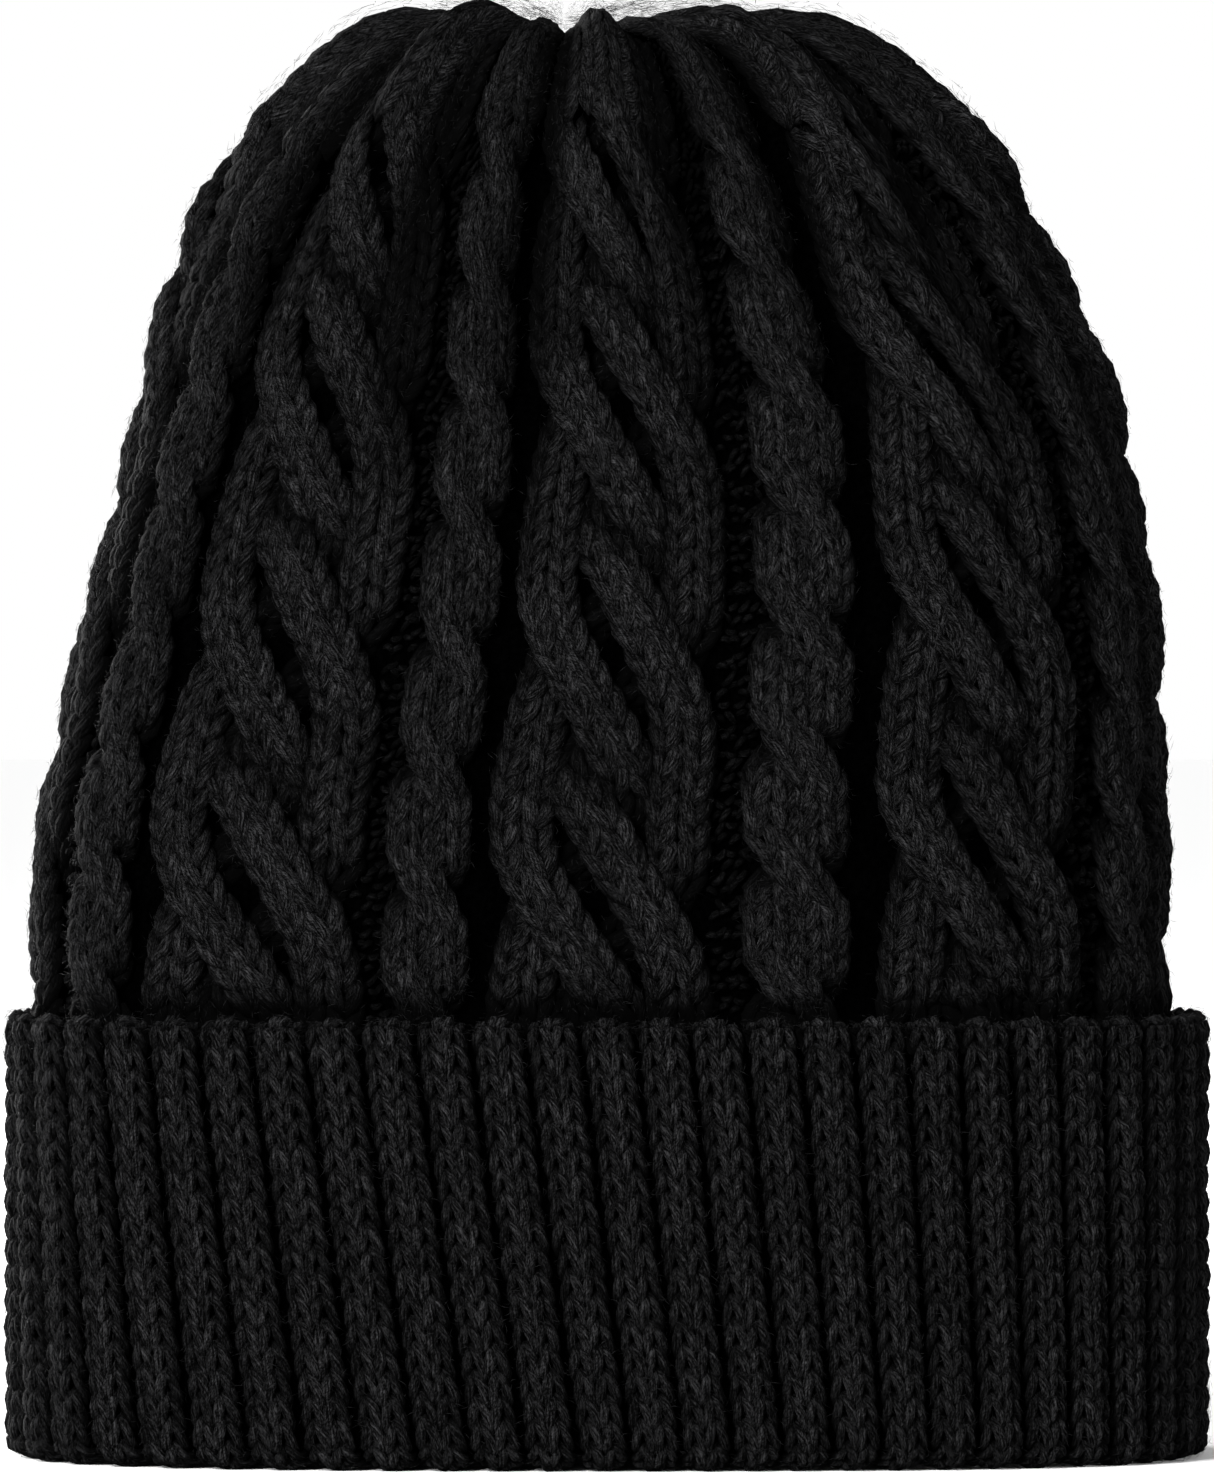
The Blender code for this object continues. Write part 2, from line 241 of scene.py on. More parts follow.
class Skin:
    """A closed-round surface given as a grid of places: columns round the hat, rows up it."""

    def __init__(self, places, girth, v_first, v_last, mirrored=False, inset=0.0, folds=None):
        self.girth = girth
        self.folds = folds
        self.mirrored = mirrored
        self.v_first = v_first
        self.v_step = (v_last - v_first) / (places.shape[1] - 1)
        round_way = np.roll(places, -1, 0) - np.roll(places, 1, 0)
        up_way = np.gradient(places, axis=1)
        normal = np.cross(round_way, up_way) * (-1.0 if mirrored else 1.0)
        length = np.linalg.norm(normal, axis=2, keepdims=True)
        self.normal = normal / np.maximum(length, 1e-9)
        if length[0, -1, 0] < 1e-6:
            pole = self.normal[:, -2].mean(axis=0)
            self.normal[:, -1] = pole / np.linalg.norm(pole)
        self.places = places - self.normal * np.asarray(inset)[..., None]

    def place(self, spot):
        """Space places, in mm, of pattern places (..., 3) given as x, v and h."""
        columns, rows = self.places.shape[:2]
        across = np.mod(spot[..., 0] / self.girth, 1.0) * columns
        up = np.clip((spot[..., 1] - self.v_first) / self.v_step, 0.0, rows - 1.001)
        i, j = np.floor(across).astype(int) % columns, np.floor(up).astype(int)
        f, g = (across - np.floor(across))[..., None], (up - j)[..., None]
        k = (i + 1) % columns

        def mix(grid):
            low = grid[i, j] * (1 - f) + grid[k, j] * f
            high = grid[i, j + 1] * (1 - f) + grid[k, j + 1] * f
            return low * (1 - g) + high * g

        return mix(self.places) + mix(self.normal) * spot[..., 2:3]


def crown_line(count):
    """Half width and height up the crown, evenly spaced by their run up its front."""
    rise = np.linspace(0.0, 0.25 * TAU, 900)
    half = CAP_A * np.clip(np.cos(rise), 0.0, 1.0) ** DOME_POWER
    half[-1] = 0.0
    dome = DOME_START + DOME_RISE * np.sin(rise)
    top = CROWN_TOP + 0.1
    height = top - TOP_SOFTNESS * np.log1p(np.exp((top - dome) / TOP_SOFTNESS))
    height -= GATHER_DIP * np.exp(-((half / GATHER_REACH) ** 2))
    half = np.concatenate(([CAP_A], half))
    height = np.concatenate(([CROWN_FOOT], height))
    flat = CAP_B / CAP_A
    run = np.concatenate(([0.0], np.cumsum(np.hypot(np.diff(half) * flat, np.diff(height)))))
    even = np.linspace(0.0, run[-1], count)
    return np.interp(even, run, half), np.interp(even, run, height), run[-1]


cap_outline = unit_outline(CAP_A, CAP_B)
cuff_outline = unit_outline(CUFF_A, CUFF_B)
CAP_GIRTH, CUFF_GIRTH = cap_outline[2], cuff_outline[2]
line_half, line_height, CROWN_RUN = crown_line(CROWN_ROWS)
REPEAT = CAP_GIRTH / CABLE_REPEATS
RIB_PITCH = CUFF_GIRTH / RIBS


def crown_narrowing(v):
    """How wide the crown is at v, as a share of its width at the foot."""
    return np.interp(v, np.linspace(0.0, CROWN_RUN, CROWN_ROWS), line_half / CAP_A)


def gather_fade(narrow):
    """Goes to nothing where the cloth is drawn together at the gather."""
    return np.clip((narrow - 0.12) * 1.7, 0.0, 1.0)


def crown_skin():
    """The crown's face: the CAD's dome with its lean, its tuck at the lip and its pleats."""
    ux, uy = on_outline(np.linspace(0.0, OUTLINE_STEPS, CROWN_COLUMNS + 1)[:-1], cap_outline)
    lean = np.interp(line_height, LEAN_HEIGHT, LEAN_X)
    pulled = GATHER_PULL * np.clip(1.0 - line_half / GATHER_PULL_HALF, 0.0, 1.0) ** 2
    drop = TOP_DROP * (1.0 - line_half / CAP_A) ** 1.2
    fill = GATHER_FILL * np.exp(-((line_half / GATHER_FILL_REACH) ** 2))
    places = grid(ux[:, None] * line_half + lean + pulled,
                  uy[:, None] * line_half * (CAP_B / CAP_A), line_height - drop + fill)
    x = np.arange(CROWN_COLUMNS) / CROWN_COLUMNS * CAP_GIRTH
    v = np.linspace(0.0, CROWN_RUN, CROWN_ROWS)
    above_lip = np.clip((v - LIP_V) / TUCK_REACH, 0.0, 1.0)
    tuck = TUCK_DEPTH * (0.5 + 0.5 * np.cos(math.pi * above_lip))
    facing = 1.0 - np.abs(ux) ** 6
    inset = CROWN_INSET + tuck[None, :] * facing[:, None] - pleats(x[:, None], v[None, :])
    return Skin(places, CAP_GIRTH, 0.0, CROWN_RUN, inset=inset, folds=pleats)


def pleats(x, v):
    """How far the crown's skin swells at cables and sinks between them, most near the top."""
    narrow = crown_narrowing(v)
    depth = PLEAT_FOOT + PLEAT_TOP * (1.0 - narrow) * gather_fade(narrow)
    turn = TAU * x / REPEAT
    fold = 0.55 * np.cos(2.0 * turn + 0.25) + 0.45 * np.cos(turn) - 0.2
    round_hat = TAU * x / CAP_GIRTH
    lump = np.sin(3.0 * round_hat + 0.021 * v + 0.6) * np.sin(0.045 * v + 1.7 * np.sin(round_hat))
    lump = lump + 0.6 * np.sin(7.0 * round_hat - 0.05 * v + 2.0) * np.sin(0.07 * v + 0.8)
    lump_fade = np.clip(v / 25.0, 0.0, 1.0) * np.clip(narrow * 4.0, 0, 1)
    return depth * fold + LUMP * lump * lump_fade


def rib_line():
    """The rib cloth's face, as (inset, height): inside the lip, over it, down, under and up."""
    foot_inner = CAP_INSET + BAND_WALL
    lip = CUFF_TOP - LIP_ROUND - LIP_SINK
    points = [(2 * LIP_ROUND, lip - LIP_INSIDE)]
    for inset, height, radius, start, end, steps in (
            (LIP_ROUND, lip, LIP_ROUND, 0.0, math.pi, LIP_STEPS),
            (FOLD_ROUND, FOLD_ROUND, FOLD_ROUND, math.pi, 0.75 * TAU, FOLD_STEPS),
            (foot_inner - FOLD_ROUND, FOLD_ROUND, FOLD_ROUND, -0.25 * TAU, 0.0, FOLD_STEPS)):
        points += [(inset + radius * math.cos(turn), height + radius * math.sin(turn))
                   for turn in np.linspace(start, end, steps)]
    points = np.array(points + [(foot_inner, band_high[2])])
    run = np.concatenate(([0.0], np.cumsum(np.hypot(*np.diff(points, axis=0).T))))
    return points, run


rib_points, rib_run = rib_line()
V_WALL_TOP = float(rib_run[LIP_STEPS])
V_WALL_FOOT = float(rib_run[LIP_STEPS + 1])
V_FOLD_END = float(rib_run[LIP_STEPS + 2 * FOLD_STEPS])
V_END = float(rib_run[-1])


def rib_lean(x):
    """How far round the ribs run off by the time they reach the fold, from place to place."""
    near = 0.5 + 0.5 * np.cos(TAU * (x - RIB_LEAN_AT) / CUFF_GIRTH)
    return RIB_LEAN * near ** RIB_LEAN_POWER


def spread(x):
    """Ribs stand a little further apart toward -x than toward +x."""
    return -RIB_SPREAD + RIB_SPREAD * np.cos(TAU * x / CUFF_GIRTH)


def rib_skin():
    """The rib cloth's face, from inside the lip, down the cuff, and up inside the band."""
    x = np.arange(RIB_COLUMNS) / RIB_COLUMNS * CUFF_GIRTH
    x = np.where(x > CUFF_GIRTH / 2, x - CUFF_GIRTH, x)
    v = np.linspace(0.0, V_END, RIB_ROWS)
    inset = np.interp(v, rib_run, rib_points[:, 0])
    height = np.interp(v, rib_run, rib_points[:, 1])
    down = np.clip((v - V_WALL_TOP) / (V_WALL_FOOT - V_WALL_TOP), 0.0, 1.0)
    along = x[:, None] + rib_lean(x)[:, None] * down + spread(x)[:, None]
    ux, uy = on_outline(np.mod(along / CUFF_GIRTH, 1.0) * OUTLINE_STEPS, cuff_outline)
    places = grid(ux * (CUFF_A - inset), uy * (CUFF_B - inset), height)
    return Skin(places, CUFF_GIRTH, 0.0, V_END, mirrored=True)


def band_outside_skin():
    """The band's hidden outer face, from its top down to the fold."""
    ux, uy = on_outline(np.arange(RIB_COLUMNS) / RIB_COLUMNS * OUTLINE_STEPS, cap_outline)
    places = grid(ux[:, None] * CAP_A, uy[:, None] * CAP_B,
                  np.linspace(band_high[2], band_low[2], BAND_ROWS))
    return Skin(places, CAP_GIRTH, 0.0, BAND_RUN, mirrored=True)


# ---- meshes
def link(item):
    bpy.context.scene.collection.objects.link(item)
    return item


def make_mesh(name, verts, quads, tris, yarn=None, shade=None):
    """A smooth mesh object from mm places, with its yarn places and its shade as attributes."""
    mesh = bpy.data.meshes.new(name)
    mesh.vertices.add(len(verts))
    mesh.vertices.foreach_set("co", (verts * MM).astype(np.float32).ravel())
    loops = np.concatenate((quads.ravel(), tris.ravel())).astype(np.int32)
    sizes = np.concatenate((np.full(len(quads), 4), np.full(len(tris), 3))).astype(np.int32)
    starts = np.concatenate(([0], np.cumsum(sizes)[:-1])).astype(np.int32)
    mesh.loops.add(len(loops))
    mesh.loops.foreach_set("vertex_index", loops)
    mesh.polygons.add(len(sizes))
    mesh.polygons.foreach_set("loop_start", starts)
    mesh.polygons.foreach_set("use_smooth", np.ones(len(sizes), dtype=bool))
    mesh.update(calc_edges=True)
    for label, kind, part, values in (("yarn", "FLOAT_VECTOR", "vector", yarn),
                                      ("shade", "FLOAT", "value", shade)):
        if values is not None:
            layer = mesh.attributes.new(label, kind, "POINT")
            layer.data.foreach_set(part, values.astype(np.float32).ravel())
    return link(bpy.data.objects.new(name, mesh))


def lay_tubes(spine, wide, thick, sides):
    """Closed tapered tubes along spines (count, stations, 3), in pattern places.

    wide and thick are half sizes at each station, across the cloth and out of it.
    Returns the places, the faces and the yarn places: along, round and a number per tube.
    """
    count, stations = spine.shape[:2]
    way = np.gradient(spine, axis=1)
    flat = np.hypot(way[..., 0], way[..., 1])[..., None]
    across = np.stack((way[..., 1], -way[..., 0], np.zeros_like(way[..., 0])), -1) / (flat + 1e-9)
    turn = np.arange(sides) / sides * TAU
    side_way, out_way = np.sin(turn), -np.cos(turn)
    ring = spine[:, :, None, :] + across[:, :, None, :] * (wide[..., None] * side_way)[..., None]
    ring[..., 2] += thick[..., None] * out_way
    steps = np.linalg.norm(np.diff(spine, axis=1), axis=2)
    along = np.concatenate((np.zeros((count, 1)), np.cumsum(steps, 1)), 1)
    back = (spine[:, 1] - spine[:, 0]) / (steps[:, :1] + 1e-9) * thick[:, :1]
    onward = (spine[:, -1] - spine[:, -2]) / (steps[:, -1:] + 1e-9) * thick[:, -1:]
    tips = np.stack((spine[:, 0] - back * TIP, spine[:, -1] + onward * TIP), 1)
    size = stations * sides + 2
    verts = np.concatenate((ring.reshape(count, -1, 3), tips), 1)

    yarn = np.empty((count, size, 3))
    girth = (wide + thick)[..., None] * turn
    yarn[:, :-2, 0] = np.repeat(along, sides, 1)
    yarn[:, :-2, 1] = girth.reshape(count, -1)
    yarn[:, -2:, 0] = along[:, [0, -1]]
    yarn[:, -2:, 1] = 0.0
    yarn[..., 2] = rng.random((count, 1))

    station = np.arange(stations - 1)[:, None]
    side = np.arange(sides)[None, :]
    after = (side + 1) % sides
    here, there = station * sides, (station + 1) * sides
    quad = np.stack((here + side, here + after, there + after, there + side), -1).reshape(-1, 4)
    first = np.stack((np.full(sides, size - 2), after[0], side[0]), -1)
    base = (stations - 1) * sides
    last = np.stack((np.full(sides, size - 1), base + side[0], base + after[0]), -1)
    tri = np.concatenate((first, last))
    shift = (np.arange(count) * size)[:, None, None]
    return verts, quad[None] + shift, tri[None] + shift, yarn


def deep_shade(h, keys):
    """Painted shade at h, as a share of the yarn's colour: about 1 on top, near 0 deep in the
    cloth.
    """
    return np.interp(h, [key[0] for key in keys], [key[1] for key in keys])


def tube_piece(name, skin, spine, wide, thick, sides=7, shade_keys=CABLE_SHADE, foot=None):
    """Tubes laid on a skin as one mesh, with painted shade by depth and in folds; yarn just above
    foot, if it is given, gets painted shade.
    """
    verts, quads, tris, yarn = lay_tubes(spine, wide, thick, sides)
    # painted shade by depth: deep yarn darker, the highest yarn a little lighter
    shade = deep_shade(verts[..., 2], shade_keys)
    # painted shade in the skin's folds
    if skin.folds is not None:
        shade = shade * deep_shade(skin.folds(verts[..., 0], verts[..., 1]), FOLD_SHADE)
    # painted shade on the yarn just above foot
    if foot is not None:
        shade = shade * np.interp(verts[..., 1], [foot, foot + FOOT_SHADE_RUN], [0.0, 1.0])
    placed = skin.place(verts).reshape(-1, 3)
    turn = -1 if skin.mirrored else 1
    return make_mesh(name, placed, quads.reshape(-1, 4)[:, ::turn], tris.reshape(-1, 3)[:, ::turn],
                     yarn.reshape(-1, 3), shade)


# A leg of a stitch, from behind the stitch below to behind the stitch above: its run in rows,
# how far aside it leans, how far it rises out of the cloth, and how full the yarn is
LEG_FROM, LEG_RUN = -0.25, 1.60
LEG_ASIDE = ((-0.25, 0.15, 0.6, 1.0, 1.35), (0.03, 0.27, 0.54, 0.68, 0.58))
LEG_RISE = ((-0.25, 0.1, 0.45, 0.85, 1.35), (-0.72, -0.10, 0.12, 0.02, -0.58))
LEG_SWELL = ((-0.25, 0.1, 0.5, 0.9, 1.35), (0.74, 0.96, 1.02, 0.98, 0.74))
SHAKE_V, SHAKE_ASIDE, SHAKE_H, SHAKE_SIZE = 0.13, 0.07, 0.10, 0.06


def stitch_legs(centre, slope, v, height, column_half, radius, stations=5, dive=1.0, flare=1.0):
    """Spines of both legs of the V of each stitch.

    centre(v) and height(v) follow the column; v is where each stitch begins. Each leg rises
    out of the stitch below, leans outward, then dives behind the foot of the stitch above.
    A higher dive takes its ends deeper and thinner, and a higher flare opens the V.
    """
    row_share = LEG_FROM + LEG_RUN * np.linspace(0.0, 1.0, stations)
    aside = np.interp(row_share, *LEG_ASIDE) * flare
    rise = np.interp(row_share, *LEG_RISE) * dive
    swell = 1.0 - (1.0 - np.interp(row_share, *LEG_SWELL)) * dive
    count = len(v)
    legs = []
    for side in (-1.0, 1.0):
        shake = rng.normal(0.0, 1.0, (count, 4))
        up = v[:, None] + row_share * ROW + shake[:, :1] * SHAKE_V
        off = side * column_half * aside * (1.0 + SHAKE_ASIDE * shake[:, 1:2])
        h = height(up, off) + rise * radius + shake[:, 2:3] * SHAKE_H
        lean = slope(up)
        norm = np.sqrt(1.0 + lean ** 2)
        size = radius * swell * (1.0 + SHAKE_SIZE * shake[:, 3:4])
        legs.append((grid(centre(up) + off / norm, up - off * lean / norm, h), size, size))
    return join(legs)


# ---- materials
class Nodes:
    """Short ways to build a material's nodes."""

    def __init__(self, name, roughness, specular):
        self.material = bpy.data.materials.new(name)
        self.material.use_nodes = True
        self.tree = self.material.node_tree
        self.shader = self.tree.nodes["Principled BSDF"]
        self.shader.inputs["Roughness"].default_value = roughness
        self.shader.inputs["Specular IOR Level"].default_value = specular

    def add(self, kind, **values):
        node = self.tree.nodes.new(kind)
        for key, value in values.items():
            self.set(node.inputs[key.replace("_", " ")], value)
        return node

    def set(self, socket, value):
        if isinstance(value, bpy.types.NodeSocket):
            self.tree.links.new(value, socket)
        else:
            socket.default_value = value

    def calc(self, operation, first, second=0.0):
        node = self.tree.nodes.new("ShaderNodeMath")
        node.operation = operation
        self.set(node.inputs[0], first)
        self.set(node.inputs[1], second)
        return node.outputs[0]

    def times(self, first, second):
        return self.calc("MULTIPLY", first, second)

    def plus(self, first, second):
        return self.calc("ADD", first, second)

    def attribute(self, name, output):
        node = self.tree.nodes.new("ShaderNodeAttribute")
        node.attribute_name = name
        return node.outputs[output]

    def split(self, vector):
        return self.add("ShaderNodeSeparateXYZ", Vector=vector).outputs

    def join(self, x, y, z):
        return self.add("ShaderNodeCombineXYZ", X=x, Y=y, Z=z).outputs[0]

    def noise(self, vector, scale, detail, rough=0.6):
        return self.add("ShaderNodeTexNoise", Vector=vector, Scale=scale, Detail=detail,
                        Roughness=rough).outputs["Fac"]

    def ramp(self, value, low, high, start=0.0, end=1.0):
        return self.add("ShaderNodeMapRange", Value=value, From_Min=low, From_Max=high,
                        To_Min=start, To_Max=end).outputs["Result"]

    def mix(self, factor, first, second):
        node = self.tree.nodes.new("ShaderNodeMix")
        node.data_type = "RGBA"
        for socket, value in zip((node.inputs["Factor"], node.inputs["A"], node.inputs["B"]),
                                 (factor, first, second)):
            self.set(socket, value)
        return node.outputs["Result"]

    def colour(self, value):
        self.set(self.shader.inputs["Base Color"], value)

    def bump(self, height, distance, strength=1.0):
        node = self.add("ShaderNodeBump", Height=height, Distance=distance, Strength=strength)
        self.set(self.shader.inputs["Normal"], node.outputs["Normal"])


def grey(value, blue=1.04):
    return (value, value, value * blue, 1.0)


def yarn_material(name, dark, light):
    """Matt plied yarn: broken fibre streaks along its twist, partly fibre tone and partly painted
    highlights, uneven from stitch to stitch, under the painted shade of its shade attribute.
    """
    nodes = Nodes(name, 0.82, 0.006)
    times, plus = nodes.times, nodes.plus
    along, turn, number = nodes.split(nodes.attribute("yarn", "Vector"))
    shift = times(number, 91.0)
    twisted = plus(times(turn, 1.7), times(along, 0.75))
    streak_place = nodes.join(times(along, 0.45), twisted, shift)
    streaks = nodes.noise(streak_place, 1.0, 4.0, 0.68)
    crossed = nodes.calc("SUBTRACT", times(turn, 2.0), times(along, 1.5))
    stray_place = nodes.join(times(along, 1.5), crossed, shift)
    strays = nodes.noise(stray_place, 1.3, 2.0, 0.6)
    ply = nodes.calc("SINE", plus(times(turn, 1.15), times(along, 1.5)))
    fibres = plus(times(streaks, 0.62), times(strays, 0.38))
    # bright streaks: partly fibre tone, partly painted highlights
    lit = nodes.ramp(fibres, 0.44, 0.645)
    lit = times(nodes.calc("POWER", lit, 1.7), nodes.ramp(number, 0.0, 1.0, 0.7, 1.2))
    # painted shade from the shade attribute darkens the colour
    shade = nodes.attribute("shade", "Fac")
    nodes.colour(nodes.mix(times(lit, shade), grey(dark), grey(light)))
    nodes.bump(plus(times(fibres, 1.6), times(ply, 0.16)), 0.0004)
    return nodes.material


def ground_material(name, dark, light):
    """Black cloth seen deep between stitches, its colour a near-black painted shade, with fine
    uneven lint.
    """
    nodes = Nodes(name, 0.95, 0.0)
    place = nodes.add("ShaderNodeTexCoord").outputs["Object"]
    lint = nodes.noise(place, 900.0, 4.0, 0.7)
    nodes.colour(nodes.mix(nodes.ramp(lint, 0.4, 0.7), grey(dark), grey(light)))
    nodes.bump(lint, 0.0006)
    return nodes.material


def fibre_material(name, value):
    nodes = Nodes(name, 0.7, 0.02)
    nodes.shader.inputs["Base Color"].default_value = grey(value)
    return nodes.material


rib_yarn = yarn_material("rib_yarn_black", 0.0001, 0.0118)
cable_yarn = yarn_material("cable_yarn_black", 0.0001, 0.0112)
join_yarn = yarn_material("join_yarn_black", 0.0004, 0.0120)
# the ground's near-black colour is painted shade, far darker than the yarn itself
ground_yarn = ground_material("ground_painted_shade_black", 0.00003, 0.00014)
fibre_tones = [fibre_material(f"loose_fibre_{k}", tone) for k, tone in
               enumerate((0.0006, 0.002, 0.0048))]


def dress(item, material, body, slot, *cad_nodes):
    """Give a piece its material, the body it rides on and the CAD nodes it replaces; its slot is
    not used.
    """
    if material is not None:
        item.data.materials.append(material)
    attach(item, body)
    if cad_nodes:
        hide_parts(*cad_nodes)


# ---- camera, light and floor
def make_camera():
    data = bpy.data.cameras.new("camera")
    data.sensor_width = 36.0
    data.lens = data.sensor_width * CAMERA_DISTANCE / VIEW_HEIGHT
    data.clip_end = 100.0
    item = link(bpy.data.objects.new("camera", data))
    item.location = (0.0, -CAMERA_DISTANCE, CAMERA_HEIGHT)
    item.rotation_euler = (0.25 * TAU, 0.0, 0.0)
    bpy.context.scene.camera = item


def area_light(name, place, aim, size, power):
    data = bpy.data.lights.new(name, "AREA")
    data.shape = "DISK"
    data.size = size
    data.energy = power
    item = link(bpy.data.objects.new(name, data))
    item.location = place
    item.rotation_euler = (Vector(aim) - Vector(place)).to_track_quat("-Z", "Y").to_euler()


def make_floor():
    """A pale floor, a little darker near the hat so that it meets the white world far off."""
    bpy.ops.mesh.primitive_circle_add(vertices=96, radius=60.0, fill_type="NGON")
    floor = bpy.context.object
    floor.name = "floor"
    nodes = Nodes("pale_floor", 0.9, 0.1)
    place = nodes.add("ShaderNodeTexCoord").outputs["Object"]
    away = nodes.tree.nodes.new("ShaderNodeVectorMath")
    away.operation = "LENGTH"
    nodes.set(away.inputs[0], place)
    far = nodes.ramp(away.outputs["Value"], 0.5, 2.5)
    nodes.colour(nodes.mix(far, grey(0.40, 1.0), grey(0.97, 1.0)))
    floor.data.materials.append(nodes.material)


def make_world():
    world = bpy.data.worlds.new("studio")
    world.use_nodes = True
    background = world.node_tree.nodes["Background"]
    background.inputs["Color"].default_value = (1.0, 1.0, 1.0, 1.0)
    background.inputs["Strength"].default_value = 1.0
    bpy.context.scene.world = world


make_camera()
make_floor()
make_world()
for light in LIGHTS:
    area_light(*light)
bpy.context.scene.view_settings.view_transform = "Standard"

# ---- cuff and band in rib
def rib_round(off_rib):
    """The rib's face falls away toward its two sides."""
    return -1.35 * (np.abs(off_rib) / RIB_COLUMN) ** 2.4


def rib_legs(rows, rib_numbers, pitch, stations):
    """Legs of ribs of two knit columns each."""
    legs = []
    for rib in rib_numbers:
        for column in (-0.5, 0.5):
            centre_x = rib * pitch + column * (RIB_COLUMN + 0.15)
            offset = column * RIB_COLUMN
            legs.append(stitch_legs(
                lambda v: np.full_like(v, centre_x), np.zeros_like,
                rows + rng.normal(0.0, 0.12), lambda v, off: -0.95 + rib_round(offset + off),
                RIB_COLUMN * 0.5, LEG_IN_RIB, stations, dive=1.45, flare=1.22))
    return join(legs)


def rib_pieces(name, skin, rows, pitch, shares, stations, sides, body, cad_node):
    """The ribs all round the hat, shared out between pieces; gives back each piece's legs."""
    all_legs = []
    for share in range(shares):
        numbers = np.arange(share * RIBS // shares, (share + 1) * RIBS // shares)
        legs = rib_legs(rows, numbers, pitch, stations)
        piece = tube_piece(f"{name}_{share}", skin, *legs, sides=sides, shade_keys=RIB_SHADE)
        dress(piece, rib_yarn, body, "rib_yarn", cad_node)
        all_legs.append(legs)
    return all_legs


def groove_depth(x, v):
    """Cuff ground: shallow behind the ribs' faces, deep in the purl grooves."""
    phase = np.cos(TAU * x / RIB_PITCH)
    return -2.5 - 0.65 * (1.0 - phase)


def level(h):
    return lambda x, v: np.full_like(x, h)


def ground_piece(name, skin, columns, v_list, outer_h, inner_h):
    """A closed dark wall between two heights over a stretch of cloth, carried round the hat."""
    x = np.arange(columns) / columns * skin.girth
    grid_x, grid_v = np.meshgrid(x, v_list, indexing="ij")
    outer = grid(grid_x, grid_v, outer_h(grid_x, grid_v))
    inner = grid(grid_x, grid_v, inner_h(grid_x, grid_v))
    loop = np.concatenate((outer, inner[:, ::-1]), 1)
    count = loop.shape[1]
    i, j = np.meshgrid(np.arange(columns), np.arange(count), indexing="ij")
    k, m = (i + 1) % columns, (j + 1) % count
    quads = np.stack((i * count + j, k * count + j, k * count + m, i * count + m), -1)
    turn = -1 if skin.mirrored else 1
    return make_mesh(name, skin.place(loop).reshape(-1, 3), quads.reshape(-1, 4)[:, ::turn],
                     NO_TRIS)


ribs_skin = rib_skin()
rib_rows = np.arange(V_WALL_TOP - 2.3 * ROW, V_END - 0.6 * ROW, ROW)
in_cuff = rib_rows < V_FOLD_END - 0.5 * ROW
fuzzy_cuff = rib_pieces("cuff_ribs", ribs_skin, rib_rows[in_cuff], RIB_PITCH, 4, 5, 7,
                        "cuff", "turn_up_cuff")
rib_pieces("band_inner_ribs", ribs_skin, rib_rows[~in_cuff], RIB_PITCH, 2, 4, 6,
           "cap", "inner_band")

cuff_stations = np.concatenate((np.linspace(V_WALL_TOP + 1.6, V_WALL_FOOT, 20),
                                np.linspace(V_WALL_FOOT, V_FOLD_END + 4.0, 9)[1:]))
dress(ground_piece("cuff_ground", ribs_skin, RIBS * 8, cuff_stations, groove_depth, level(-4.3)),
      ground_yarn, "cuff", "rib_yarn")
dress(ground_piece("band_ground", ribs_skin, RIBS * 6, np.linspace(V_FOLD_END + 5.0, V_END, 12),
                   level(-1.9), level(-2.7)),
      ground_yarn, "cap", "rib_yarn")

# ---- cables of the crown
def glide(rows, keys, cycle, reach=0.8):
    """Value at rows down a repeating run of (row, value) keys, with its corners rounded off."""
    places = np.array([key[0] for key in keys])
    values = np.array([key[1] for key in keys])
    total = 0.0
    for step in (-1.0, -0.5, 0.0, 0.5, 1.0):
        total = total + np.interp(np.mod(rows + step * reach, cycle), places, values)
    return total / 5.0


def row_tilt(x):
    """Rows of the crown lie a little higher toward the sides, and most toward +x."""
    turn = TAU * x / CAP_GIRTH
    return ROW_TILT_RISE * (1.0 - np.cos(2.0 * turn)) + ROW_TILT_SKEW * np.sin(turn)


def strand_round(off, half):
    """A strand's face falls away toward its two sides."""
    return -STRAND_ROUND * (np.abs(off) / half) ** STRAND_ROUND_POWER


def wrapped(x):
    """The same place round the hat, counted both ways from the front middle."""
    return x - CAP_GIRTH if x > CAP_GIRTH / 2 else x


def within_crown(spines):
    """Hold legs between the crown's foot and its gather."""
    spines[..., 1] = np.clip(spines[..., 1], 0.3, CROWN_RUN - 0.5)
    return spines


